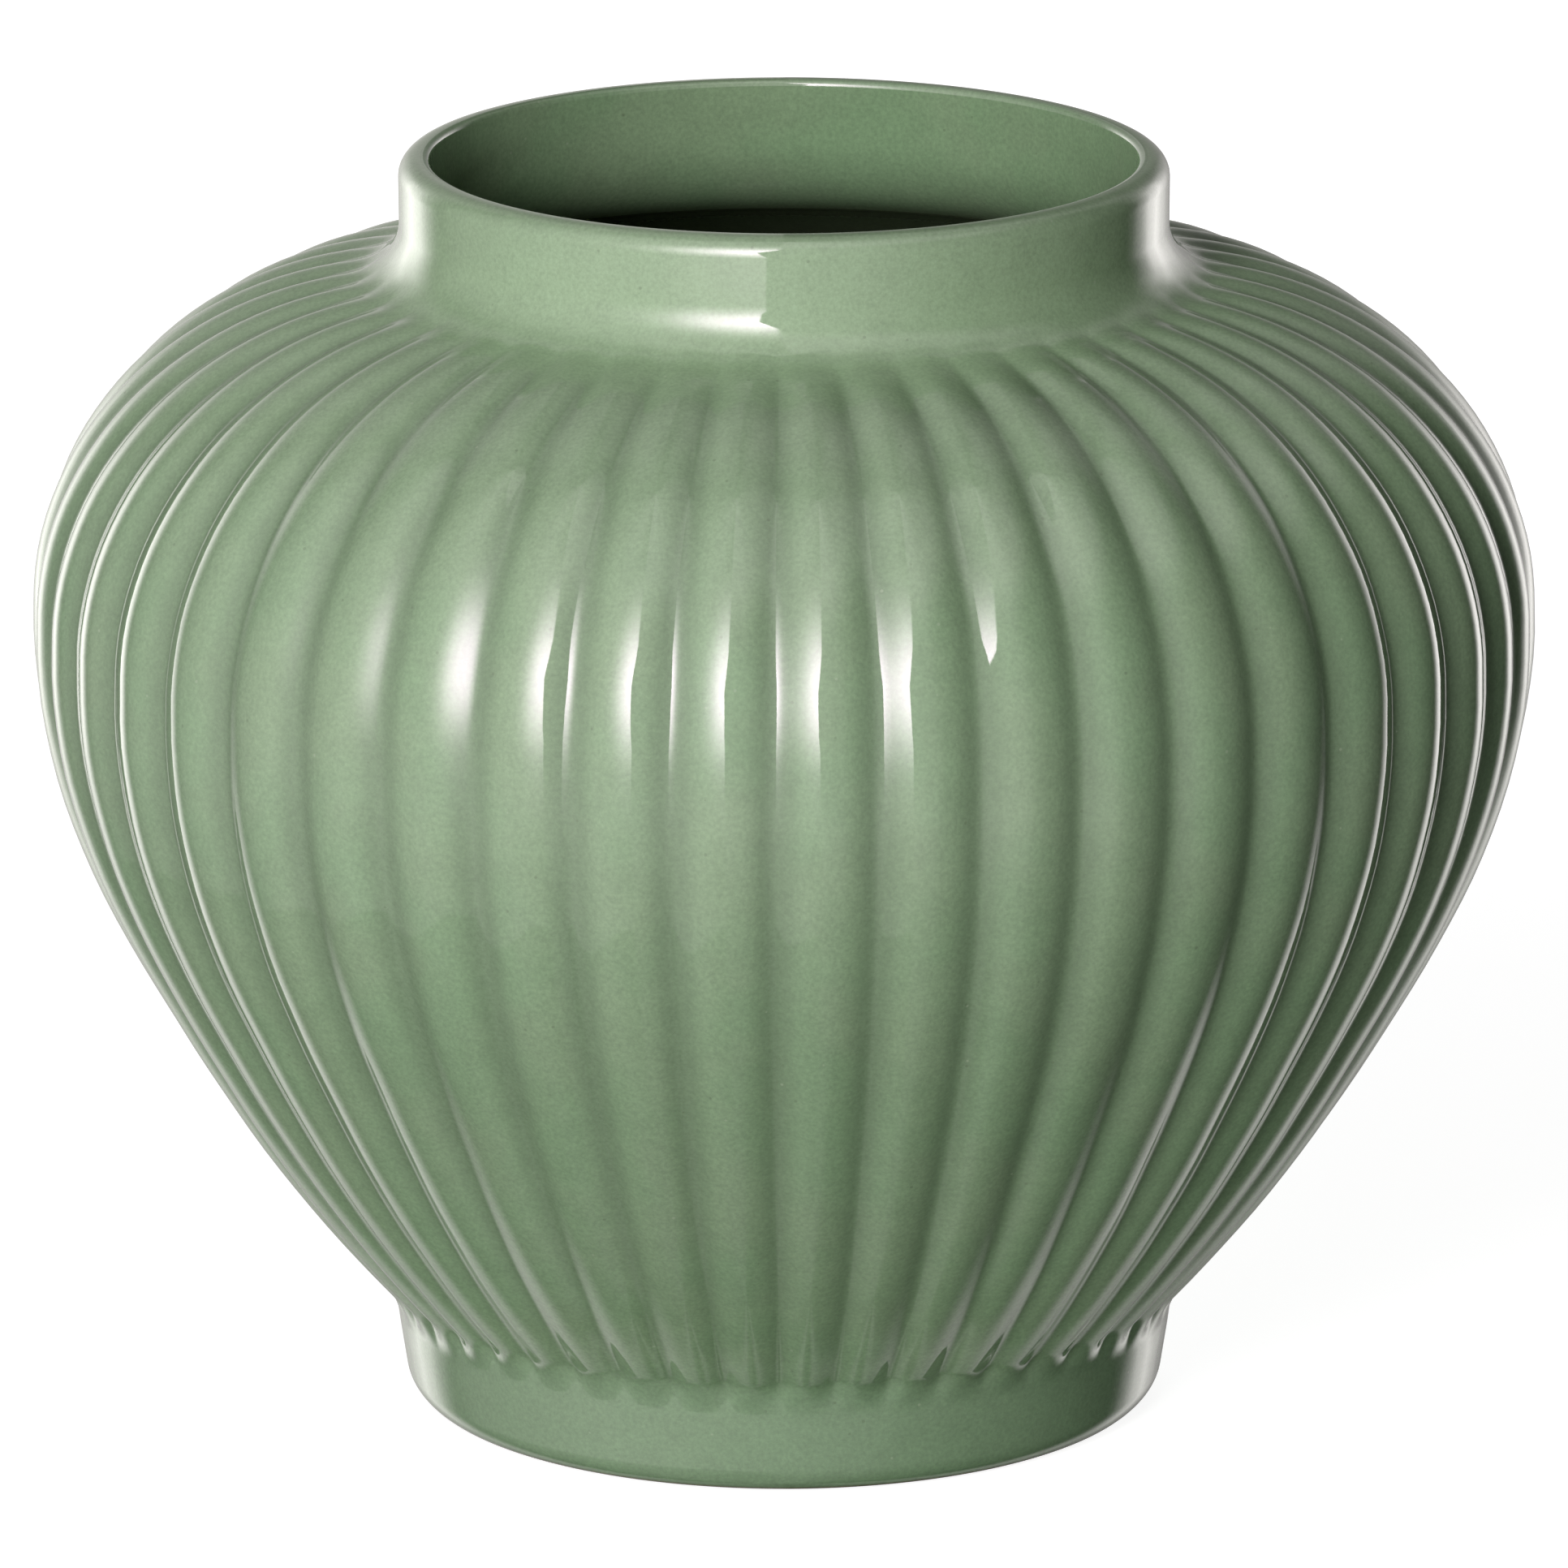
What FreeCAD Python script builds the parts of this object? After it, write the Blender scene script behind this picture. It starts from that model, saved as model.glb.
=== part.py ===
import FreeCAD, Part
import Sketcher
import math
import os

# A ribbed stoneware vase: a clay wall with three coats of glaze fused on it.
# +Z is up and the origin is the middle of the foot on the table. Lengths are in millimetres.
# Outlines are drawn in the XZ plane, where x is the radius, and turned about Z.

doc = FreeCAD.newDocument("ribbed_vase")

# Driving dimensions. Outer sizes are those of the finished, glazed vase.
driving_dimensions = [
    ("vase_height", 180.0, "table to the crown of the lip"),
    ("belly_diameter", 212.2, "over the crests of the ribs"),
    ("belly_height", 115.7, "table to the widest place"),
    ("belly_wall", 5.2, "clay and both coats under a crest"),
    ("foot_diameter", 111.8, "at the corner between foot and belly"),
    ("foot_height", 15.2, "table to that corner"),
    ("foot_flare_angle", 8.7, "degrees that the foot's wall leans out"),
    ("foot_edge_radius", 5.0, "rounding of the foot's lower edge"),
    ("foot_blend", 3.2, "reach of the hollow rounding between foot and belly"),
    ("shoulder_drop", 16.3, "crown of the lip to the top of the shoulder's curve"),
    ("shoulder_tuck", 1.5, "how far that curve would run in under the neck's wall"),
    ("neck_diameter", 108.2, "outside of the collar neck"),
    ("neck_wall", 4.45, "clay and both coats in the neck"),
    ("neck_blend", 6.5, "reach of the hollow rounding between shoulder and neck"),
    ("lip_outer_radius", 2.75, "rounding of the lip outside"),
    ("lip_inner_radius", 0.9, "rounding of the lip inside"),
    ("rib_count", 47, "ribs round the vase"),
    ("rib_depth", 1.5, "crest to valley at the widest place"),
    ("rib_foot_fade", 5.5, "length over which the ribs rise from the foot"),
    ("rib_neck_fade", 13.0, "length over which the ribs sink towards the neck"),
    ("rib_neck_gap", 5.0, "smooth length between the ribs' ends and the neck's straight wall"),
    ("coat_thickness", 0.4, "each coat of glaze"),
    ("coat_pooling", 0.15, "extra glaze in the valleys at the widest place"),
    ("coat_stop_angle", 55.0, "degrees down the foot's edge where the outer coat stops"),
    ("floor_thickness", 5.8, "clay and inner coat at the bottom"),
    ("floor_blend", 9.0, "height above the floor where the wall starts to round into it"),
    ("recess_diameter", 88.0, "hollow under the base, inside the foot ring"),
    ("recess_depth", 4.0, "table to the clay in that hollow"),
    ("recess_edge_radius", 1.2, "roundings of that hollow"),
    ("base_coat_gap", 1.6, "bare clay round the coat in that hollow"),
]
sheet = doc.addObject("Spreadsheet::Sheet", "sizes")
for row, (alias, value, note) in enumerate(driving_dimensions, start=1):
    sheet.set(f"A{row}", alias)
    sheet.set(f"B{row}", str(value))
    sheet.set(f"C{row}", note)
    sheet.setAlias(f"B{row}", alias)
doc.recompute()

# The belly's outline from the foot to the widest place: share of that height, share of that reach.
lower_belly_shares = [
    (0.0, 0.0),
    (0.12, 0.21),
    (0.28, 0.447),
    (0.46, 0.667),
    (0.64, 0.852),
    (0.82, 0.968),
    (1.0, 1.0),
]
# How round a valley is beside a crest: 0 would be a crease.
valley_round_share = 0.08
# How far along their reach a blend's handles lie: this value keeps it close to an arc.
blend_handle_share = 0.55
# How much closer the points across a rib lie in the valley than on the crest.
valley_crowding_share = 0.5

# Steps along each stretch of the ribbed outline, and across one rib.
foot_blend_steps = 8
lower_belly_steps = 24
shoulder_steps = 22
neck_blend_steps = 10
rib_steps = 12
# Patches along each half of a rib, and spans down the inside wall.
patches_per_rib = 4
inside_spans = 14

belly_radius = sheet.belly_diameter / 2
foot_radius = sheet.foot_diameter / 2
neck_radius = sheet.neck_diameter / 2
mouth_radius = neck_radius - sheet.neck_wall
recess_radius = sheet.recess_diameter / 2
floor_height = sheet.recess_depth + sheet.floor_thickness
coat = sheet.coat_thickness
flare = math.radians(sheet.foot_flare_angle)
rib_count = int(sheet.rib_count)
origin = FreeCAD.Vector(0, 0, 0)
upright = FreeCAD.Vector(0, 0, 1)


def at(x, z):
    return FreeCAD.Vector(x, 0, z)


def outward(direction):
    """The normal on the right of an outline that runs in this direction."""
    return at(direction.z, -direction.x).normalize()


def line(start, end):
    return Part.LineSegment(start, end).toShape()


def arc(centre, radius, first_angle, last_angle):
    """Angles in radians from +x towards +z."""
    angles = (first_angle, (first_angle + last_angle) / 2, last_angle)
    points = [centre + at(math.cos(angle), math.sin(angle)) * radius for angle in angles]
    return Part.Arc(*points).toShape()


def blend(start, start_direction, end, end_direction, corner):
    """A near arc from start to end that bends beside the corner."""
    curve = Part.BezierCurve()
    first_handle = start_direction * ((corner - start).Length * blend_handle_share)
    last_handle = end_direction * ((corner - end).Length * blend_handle_share)
    curve.setPoles([start, start + first_handle, end - last_handle, end])
    return curve


def span(start, start_direction, end, end_direction):
    """A smooth curve between two near points of an outline."""
    curve = Part.BezierCurve()
    handle = (end - start).Length / 3
    curve.setPoles([start, start + start_direction * handle, end - end_direction * handle, end])
    return curve


def curve_row(curve, parameter):
    """A point of an outline and its outward normal."""
    return curve.value(parameter), outward(curve.tangent(parameter)[0])


def curve_rows(curve, first, last, steps):
    return [curve_row(curve, first + (last - first) * step / steps) for step in range(steps + 1)]


# The foot: a flared wall on a rounded edge, whose arc shares its centre with the clay's.
foot_corner = at(foot_radius, sheet.foot_height)
foot_wall_direction = at(math.sin(flare), math.cos(flare))
foot_wall_normal = outward(foot_wall_direction)
edge_height = sheet.foot_edge_radius - coat
foot_wall_rise = sheet.foot_height - edge_height + sheet.foot_edge_radius * math.sin(flare)
foot_wall_start = foot_corner - foot_wall_direction * (foot_wall_rise / math.cos(flare))
foot_wall_end = foot_corner - foot_wall_direction * sheet.foot_blend
edge_centre = foot_wall_start - foot_wall_normal * sheet.foot_edge_radius

# The belly from the foot to the widest place.
lower_belly = Part.BSplineCurve()
lower_belly.interpolate(
    [
        at(
            foot_radius + (belly_radius - foot_radius) * reach_share,
            sheet.foot_height + (sheet.belly_height - sheet.foot_height) * height_share,
        )
        for height_share, reach_share in lower_belly_shares
    ]
)
lower_belly_start = lower_belly.parameterAtDistance(sheet.foot_blend, lower_belly.FirstParameter)

# The shoulder: part of a quarter ellipse from the widest place towards the neck.
shoulder_reach = belly_radius - neck_radius + sheet.shoulder_tuck
shoulder_rise = sheet.vase_height - sheet.shoulder_drop - sheet.belly_height
shoulder_centre = at(belly_radius - shoulder_reach, sheet.belly_height)
shoulder_end_angle = math.acos((sheet.neck_blend + sheet.shoulder_tuck) / shoulder_reach)


def shoulder_row(angle):
    point = shoulder_centre + at(shoulder_reach * math.cos(angle), shoulder_rise * math.sin(angle))
    return point, at(math.cos(angle) / shoulder_reach, math.sin(angle) / shoulder_rise).normalize()


def ribbed_outline_rows():
    """Rows (point, outward normal) up the ribbed outline, as stretches that share their end rows."""
    belly_start = lower_belly.value(lower_belly_start)
    belly_direction = lower_belly.tangent(lower_belly_start)[0]
    foot_curve = blend(foot_wall_end, foot_wall_direction, belly_start, belly_direction, foot_corner)
    shoulder = [
        shoulder_row(shoulder_end_angle * step / shoulder_steps) for step in range(shoulder_steps + 1)
    ]
    last_point, last_normal = shoulder[-1]
    direction = at(-last_normal.z, last_normal.x)
    neck_corner = last_point + direction * ((neck_radius - last_point.x) / direction.x)
    neck_end = neck_corner + upright * (neck_corner - last_point).Length
    neck_curve = blend(last_point, direction, neck_end, upright, neck_corner)
    return [
        curve_rows(foot_curve, 0, 1, foot_blend_steps),
        curve_rows(lower_belly, lower_belly_start, lower_belly.LastParameter, lower_belly_steps),
        shoulder,
        curve_rows(neck_curve, 0, 1, neck_blend_steps),
    ]


foot_rows, lower_rows, shoulder_rows, neck_rows = ribbed_outline_rows()
ribbed_rows = foot_rows + lower_rows[1:] + shoulder_rows[1:] + neck_rows[1:]
neck_wall_start = ribbed_rows[-1][0]


def fade(share):
    """Rises smoothly from 0 to 1 while share does."""
    share = min(max(share, 0), 1)
    return share * share * (3 - 2 * share)


def outline_lengths():
    """The length along the ribbed outline up to each of its rows."""
    lengths = [0]
    for (before, _), (point, _) in zip(ribbed_rows, ribbed_rows[1:]):
        lengths.append(lengths[-1] + (point - before).Length)
    return lengths


row_lengths = outline_lengths()


def rib_scale(point, length):
    """How deep the ribs are there, as a share of their depth at the widest place."""
    below = fade(length / sheet.rib_foot_fade)
    above = fade((row_lengths[-1] - sheet.rib_neck_gap - length) / sheet.rib_neck_fade)
    return point.x / belly_radius * below * above


def valley_share(turn):
    """The share of the rib's depth by which the wall lies below a crest: turn is 1 in the valley."""
    crest = math.sqrt(1 + valley_round_share)
    valley = math.sqrt(valley_round_share)
    here = math.sqrt(math.cos(math.pi * turn / 2) ** 2 + valley_round_share)
    return (crest - here) / (crest - valley)


def around(point, angle):
    """A point or direction of the XZ plane, turned about Z."""
    return FreeCAD.Vector(point.x * math.cos(angle), point.x * math.sin(angle), point.z)


def spline(points, parameters, first_rate, last_rate):
    """A smooth curve through the points. The rates are its change per unit of the parameter at its ends."""
    curve = Part.BSplineCurve()
    curve.interpolate(
        Points=points, Parameters=parameters, InitialTangent=first_rate, FinalTangent=last_rate, Scale=False
    )
    return curve


def rib_columns():
    """Angles from one crest to the next, closer together in the valley, with each one's valley share."""
    half_pitch = math.pi / rib_count
    columns = []
    for step in range(rib_steps + 1):
        spread = 2 * step / rib_steps - 1
        turn = spread - valley_crowding_share * math.sin(math.pi * spread) / math.pi
        columns.append((half_pitch * (1 + turn), valley_share(1 - abs(turn))))
    return columns


def ribbed_faces(inset, valley_depth):
    """The ribbed wall, moved in by inset: patches from crest to valley to crest, copied round the vase."""
    columns = rib_columns()
    angles = [angle for angle, _ in columns]
    first_sideways, last_sideways = [
        FreeCAD.Vector(-math.sin(angle), math.cos(angle), 0) for angle in (angles[0], angles[-1])
    ]
    pole_rows = []
    for (point, normal), length in zip(ribbed_rows, row_lengths):
        crest = point - normal * inset
        depth = valley_depth * rib_scale(point, length)
        points = [around(crest - normal * (depth * share), angle) for angle, share in columns]
        across = spline(points, angles, first_sideways * crest.x, last_sideways * crest.x)
        pole_rows.append(across.getPoles())
    pole_columns = []
    for poles in zip(*pole_rows):
        turn = math.atan2(poles[0].y, poles[0].x)
        along = spline(poles, row_lengths, around(foot_wall_direction, turn), around(upright, turn))
        pole_columns.append(along.getPoles())
    surface = Part.BSplineSurface()
    surface.buildFromPolesMultsKnots(
        pole_columns,
        across.getMultiplicities(),
        along.getMultiplicities(),
        across.getKnots(),
        along.getKnots(),
        False,
        False,
        across.Degree,
        along.Degree,
    )
    valley = angles[rib_steps // 2]
    last_row = len(row_lengths) - 1
    borders = [row_lengths[last_row * step // patches_per_rib] for step in range(patches_per_rib + 1)]
    patches = []
    for first_angle, last_angle in ((angles[0], valley), (valley, angles[-1])):
        for first_length, last_length in zip(borders, borders[1:]):
            patch = surface.copy()
            patch.segment(first_angle, last_angle, first_length, last_length)
            patches.append(patch.toShape())
    turns = [360 * rib / rib_count for rib in range(rib_count)]
    return [patch.rotated(origin, upright, turn) for turn in turns for patch in patches]


def turned_faces(edges):
    return Part.Wire(edges).revolve(origin, upright, 360).Faces


def foot_edges(inset, stop_angle):
    """The foot's rounded edge from stop_angle, then its wall up to the ribbed outline."""
    wall_start = foot_wall_start - foot_wall_normal * inset
    wall_end = foot_wall_end - foot_wall_normal * inset
    edge = arc(edge_centre, sheet.foot_edge_radius - inset, stop_angle, -flare)
    return [edge, line(wall_start, wall_end)]


# The lip: an outer rounding, a flat crown on which the coats meet, and an inner rounding.
lip_outer_centre = at(neck_radius - sheet.lip_outer_radius, sheet.vase_height - sheet.lip_outer_radius)
lip_inner_centre = at(mouth_radius + sheet.lip_inner_radius, sheet.vase_height - sheet.lip_inner_radius)
seam_radius = (lip_outer_centre.x + lip_inner_centre.x) / 2


def lip_outside_edges(inset):
    """Up the neck's wall, over the outer rounding and in to the seam."""
    crown = sheet.vase_height - inset
    wall = neck_radius - inset
    return [
        line(at(wall, neck_wall_start.z), at(wall, lip_outer_centre.z)),
        arc(lip_outer_centre, sheet.lip_outer_radius - inset, 0, math.pi / 2),
        line(at(lip_outer_centre.x, crown), at(seam_radius, crown)),
    ]


def inside_points():
    """Points down the finished inside wall, each with the normal that points into the clay."""
    rows = []
    for point, normal in reversed(lower_rows + shoulder_rows[1:] + neck_rows[1:]):
        share = (point.x - neck_radius) / (belly_radius - neck_radius)
        wall = sheet.neck_wall + (sheet.belly_wall - sheet.neck_wall) * share
        rows.append((point - normal * wall, normal))
    return [row for row in rows if row[0].z > floor_height + sheet.floor_blend]


def inside_edges(inset):
    """From the seam over the inner rounding, down the inside wall and in to the axis."""
    crown = sheet.vase_height - inset
    floor = floor_height - inset
    rows = inside_points()
    rows = [rows[(len(rows) - 1) * step // inside_spans] for step in range(inside_spans + 1)]
    points = [point + normal * inset for point, normal in rows]
    directions = [at(normal.z, -normal.x) for _, normal in rows]
    first, last, down = points[0], points[-1], directions[-1]
    corner = last + down * ((floor - last.z) / down.z)
    floor_end = corner - at((corner - last).Length, 0)
    return [
        line(at(seam_radius, crown), at(lip_inner_centre.x, crown)),
        arc(lip_inner_centre, sheet.lip_inner_radius - inset, math.pi / 2, math.pi),
        line(at(mouth_radius + inset, lip_inner_centre.z), first),
        *[span(*ends).toShape() for ends in zip(points, directions, points[1:], directions[1:])],
        blend(last, down, floor_end, at(-1, 0), corner).toShape(),
        line(floor_end, at(0, floor)),
    ]


def recess_edges():
    """From the axis out under the base, down the foot ring's inner wall and out to its rounded edge."""
    radius = sheet.recess_edge_radius
    ceiling_end = at(recess_radius - radius, sheet.recess_depth)
    return [
        line(at(0, sheet.recess_depth), ceiling_end),
        arc(ceiling_end - at(0, radius), radius, math.pi / 2, 0),
        line(at(recess_radius, sheet.recess_depth - radius), at(recess_radius, radius)),
        arc(at(recess_radius + radius, radius), radius, math.pi, math.pi * 3 / 2),
        line(at(recess_radius + radius, 0), at(edge_centre.x, 0)),
    ]


def closed_solid(faces):
    shell = Part.Compound(faces)
    shell.sewShape()
    solid = Part.Solid(shell.Shells[0])
    if solid.Volume < 0:
        solid.reverse()
    return solid


def add_part(label, shape):
    feature = doc.addObject("Part::Feature", label)
    feature.Label = label
    feature.Shape = shape
    feature.Placement = FreeCAD.Placement()
    return feature


# The clay: one wall from the recess under the base over the lip to the middle of the floor.
clay_ribs = ribbed_faces(coat, sheet.rib_depth + sheet.coat_pooling)
clay_below = turned_faces(recess_edges() + foot_edges(coat, -math.pi / 2))
clay_above = turned_faces(lip_outside_edges(coat) + inside_edges(coat))
stoneware_body = add_part("stoneware_body", closed_solid(clay_below + clay_ribs + clay_above))

# The outside coat: from a rounded end above the bare foot ring up to the seam on the crown.
stop_angle = -math.radians(sheet.coat_stop_angle)
stop_normal = at(math.cos(stop_angle), math.sin(stop_angle))
stop_middle = edge_centre + stop_normal * (sheet.foot_edge_radius - coat / 2)
coat_end = Part.Arc(
    edge_centre + stop_normal * (sheet.foot_edge_radius - coat),
    stop_middle + outward(stop_normal) * (coat / 2),
    edge_centre + stop_normal * sheet.foot_edge_radius,
).toShape()
seam = line(at(seam_radius, sheet.vase_height), at(seam_radius, sheet.vase_height - coat))
coat_foot = foot_edges(0, stop_angle) + [coat_end] + foot_edges(coat, stop_angle)
coat_lip = lip_outside_edges(0) + [seam] + lip_outside_edges(coat)
coat_ribs = ribbed_faces(0, sheet.rib_depth) + ribbed_faces(coat, sheet.rib_depth + sheet.coat_pooling)
coat_turned = turned_faces(Part.sortEdges(coat_foot)[0]) + turned_faces(Part.sortEdges(coat_lip)[0])
outside_glaze = add_part("outside_glaze", closed_solid(coat_ribs + coat_turned))

# The inside coat: from the seam down over the floor, as a profile turned about the axis.
axis_edge = line(at(0, floor_height), at(0, floor_height - coat))
profile_edges = inside_edges(0) + [axis_edge, seam] + inside_edges(coat)
inside_profile = add_part("inside_glaze_profile", Part.Face(Part.Wire(Part.sortEdges(profile_edges)[0])))
inside_glaze = doc.addObject("Part::Revolution", "inside_glaze")
inside_glaze.Label = "inside_glaze"
inside_glaze.Source = inside_profile
inside_glaze.Axis = upright
inside_glaze.Base = origin
inside_glaze.Angle = 360
inside_glaze.Solid = True

# The base coat: a thin disc with a rounded edge, drawn as half a section and turned.
base_glaze = doc.addObject("PartDesign::Body", "base_glaze")
base_glaze.Label = "base_glaze"
xz_plane = next(plane for plane in base_glaze.Origin.OriginFeatures if plane.Role == "XZ_Plane")
section = base_glaze.newObject("Sketcher::SketchObject", "base_glaze_section")
section.AttachmentSupport = [(xz_plane, "")]
section.MapMode = "FlatFace"
disc_radius = recess_radius - sheet.recess_edge_radius - sheet.base_coat_gap
corners = [
    FreeCAD.Vector(0, sheet.recess_depth - coat, 0),
    FreeCAD.Vector(disc_radius - coat, sheet.recess_depth - coat, 0),
    FreeCAD.Vector(disc_radius, sheet.recess_depth, 0),
    FreeCAD.Vector(0, sheet.recess_depth, 0),
]
edge_circle = Part.Circle(FreeCAD.Vector(disc_radius - coat, sheet.recess_depth, 0), upright, coat)
under = section.addGeometry(Part.LineSegment(corners[0], corners[1]))
edge = section.addGeometry(Part.ArcOfCircle(edge_circle, -math.pi / 2, 0))
top = section.addGeometry(Part.LineSegment(corners[2], corners[3]))
axis = section.addGeometry(Part.LineSegment(corners[3], corners[0]))
start_point, end_point, centre_point = 1, 2, 3
sketch_origin, vertical_axis = -1, -2
section.addConstraint(
    [
        Sketcher.Constraint("Tangent", under, end_point, edge, start_point),
        Sketcher.Constraint("Coincident", edge, end_point, top, start_point),
        Sketcher.Constraint("Coincident", top, end_point, axis, start_point),
        Sketcher.Constraint("Coincident", axis, end_point, under, start_point),
        Sketcher.Constraint("Horizontal", under),
        Sketcher.Constraint("Horizontal", top),
        Sketcher.Constraint("PointOnObject", axis, start_point, vertical_axis),
        Sketcher.Constraint("PointOnObject", axis, end_point, vertical_axis),
        Sketcher.Constraint("PointOnObject", edge, centre_point, top),
    ]
)
disc_expression = "sizes.recess_diameter / 2 - sizes.recess_edge_radius - sizes.base_coat_gap"
table_centre = (sketch_origin, start_point)
driven = [
    ("DistanceY", (axis, end_point), (axis, start_point), coat, "sizes.coat_thickness"),
    ("DistanceY", table_centre, (axis, start_point), sheet.recess_depth, "sizes.recess_depth"),
    ("DistanceX", table_centre, (top, start_point), disc_radius, disc_expression),
]
for kind, first, second, length, expression in driven:
    number = section.addConstraint(Sketcher.Constraint(kind, *first, *second, length))
    section.setExpression(f"Constraints[{number}]", expression)
turned = base_glaze.newObject("PartDesign::Revolution", "base_glaze_turned")
turned.Profile = section
turned.ReferenceAxis = (section, ["V_Axis"])
turned.Angle = 360

doc.recompute()
failed = [item.Label for item in doc.Objects if {"Invalid", "Error"} & set(item.State)]
if failed:
    raise RuntimeError(f"not made: {failed}")
sub_parts = [stoneware_body, outside_glaze, inside_glaze, base_glaze]
for sub_part in sub_parts:
    if sub_part.Shape.isNull() or not sub_part.Shape.isValid() or len(sub_part.Shape.Solids) != 1:
        raise RuntimeError(f"{sub_part.Label} isn't one sound solid")

os.makedirs("parts", exist_ok=True)
for sub_part in sub_parts:
    sub_part.Shape.exportStep(f"parts/{sub_part.Label}.step")
    print(sub_part.Label, round(sub_part.Shape.Volume), "mm3")
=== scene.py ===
import bpy
import math
import numpy as np
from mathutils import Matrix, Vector


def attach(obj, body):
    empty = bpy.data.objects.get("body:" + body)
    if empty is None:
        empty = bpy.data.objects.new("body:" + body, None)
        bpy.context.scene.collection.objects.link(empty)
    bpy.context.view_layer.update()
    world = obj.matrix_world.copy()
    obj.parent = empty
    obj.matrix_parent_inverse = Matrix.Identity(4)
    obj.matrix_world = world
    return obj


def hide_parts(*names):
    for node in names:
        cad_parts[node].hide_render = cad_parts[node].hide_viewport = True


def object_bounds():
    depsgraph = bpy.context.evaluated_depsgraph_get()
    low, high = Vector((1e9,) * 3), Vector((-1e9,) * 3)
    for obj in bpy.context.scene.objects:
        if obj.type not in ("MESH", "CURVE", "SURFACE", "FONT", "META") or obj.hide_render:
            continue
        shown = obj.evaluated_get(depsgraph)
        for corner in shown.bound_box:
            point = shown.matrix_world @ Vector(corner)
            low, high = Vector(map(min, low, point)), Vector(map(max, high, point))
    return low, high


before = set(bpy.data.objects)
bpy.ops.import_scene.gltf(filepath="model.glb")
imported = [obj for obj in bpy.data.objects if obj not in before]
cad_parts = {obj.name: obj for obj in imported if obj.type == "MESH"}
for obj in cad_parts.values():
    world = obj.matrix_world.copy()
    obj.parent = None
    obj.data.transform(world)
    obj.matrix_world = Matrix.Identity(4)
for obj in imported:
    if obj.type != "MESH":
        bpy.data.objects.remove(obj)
cad_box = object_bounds()

# The finished vase, in metres. +Z is up, and the +X axis runs through a rib's crest.
# Outlines are rows (radius, height), turned about Z.
mm = 0.001
vase_height = cad_box[1].z
belly_radius = 106.1 * mm
belly_height = 115.7 * mm
belly_wall = 5.2 * mm
foot_radius = 55.9 * mm
foot_height = 15.2 * mm
foot_flare = math.radians(8.7)
foot_edge_radius = 5.0 * mm
foot_blend = 3.2 * mm
shoulder_drop = 16.3 * mm
shoulder_tuck = 1.5 * mm
neck_radius = 54.1 * mm
neck_wall = 4.45 * mm
neck_blend = 6.5 * mm
mouth_radius = neck_radius - neck_wall
lip_outer_radius = 2.75 * mm
lip_inner_radius = 0.9 * mm
rib_count = 47
rib_depth = 1.5 * mm
rib_foot_fade = 5.5 * mm
rib_neck_fade = 13.0 * mm
rib_neck_gap = 5.0 * mm
coat = 0.4 * mm
coat_pooling = 0.15 * mm
coat_stop = math.radians(-55)
floor_height = 9.8 * mm
floor_blend = 9.0 * mm

# The belly's outline from the foot to the widest place: share of that height, share of that reach.
lower_belly_shares = [
    (0, 0),
    (0.12, 0.21),
    (0.28, 0.447),
    (0.46, 0.667),
    (0.64, 0.852),
    (0.82, 0.968),
    (1, 1),
]
valley_round_share = 0.08
blend_handle_share = 0.55

# The slow waves of the hand-finished surface: turns round the vase, change with height, start.
surface_unevenness = 0.08 * mm
uneven_waves = [(7, 31, 0.4), (17, -58, 2.1), (29, 83, 4.0)]

# How finely the coats are meshed: faces round the vase, and steps on each stretch of the outline.
columns_per_rib = 14
valley_crowding_share = 0.55
inside_columns = 192
coat_rim_rows = 5
foot_edge_steps = 7
foot_wall_shares = (0.25, 0.5, 0.75)
blend_steps = 10
belly_row_count = 31
shoulder_steps = 26
lip_outer_steps = 8
lip_inner_steps = 5
floor_ring_shares = (0.7, 0.4, 0.1)
hidden_row_stride = 3
hidden_foot_steps = 4
hidden_corner_share = 0.999
sharp_edge = math.radians(50)
length_refinements = 8
length_samples = 9

up = np.array([0.0, 1.0])
seam_radius = (neck_radius - lip_outer_radius + mouth_radius + lip_inner_radius) / 2

# Linear colours of the glaze and the clay, with where each is found on the vase.
browner_glaze = (0.254, 0.36, 0.213, 1)
greener_glaze = (0.238, 0.36, 0.204, 1)
pale_glaze = (0.292, 0.405, 0.248, 1)  # paler over the shoulder and the neck
painted_foot_shade = (0.185, 0.285, 0.165, 1)  # painted shade at the foot, under the belly
pooled_glaze = (0.165, 0.245, 0.140, 1)  # thick in the valleys
foot_edge_brown = (0.17, 0.14, 0.075, 1)  # brown where it ends at the foot
painted_inside_shade = (0.060, 0.062, 0.036, 1)  # painted shade deep inside the vase
dark_speck = (0.10, 0.13, 0.07, 1)
light_speck = (0.45, 0.52, 0.38, 1)
clay_dark = (0.16, 0.11, 0.07, 1)
clay_light = (0.30, 0.22, 0.15, 1)

# The heights between which each change of colour happens, and how much of it shows.
neck_tone_heights = (125 * mm, 158 * mm)
neck_tone_share = 0.8
# Painted shade at the foot: from the upper height down to the lower, by this share.
foot_shade_heights = (21 * mm, 13 * mm)
foot_shade_share = 0.7
brown_edge_heights = (1.1 * mm, 0.5 * mm)
# Painted shade inside the vase: darker from the upper height down to the lower, by this share.
inside_shade_heights = (165 * mm, 145 * mm)
inside_shade_share = 0.8
pooled_valleys = (0.15, 0.9)
pooled_tone_share = 0.8

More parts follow.
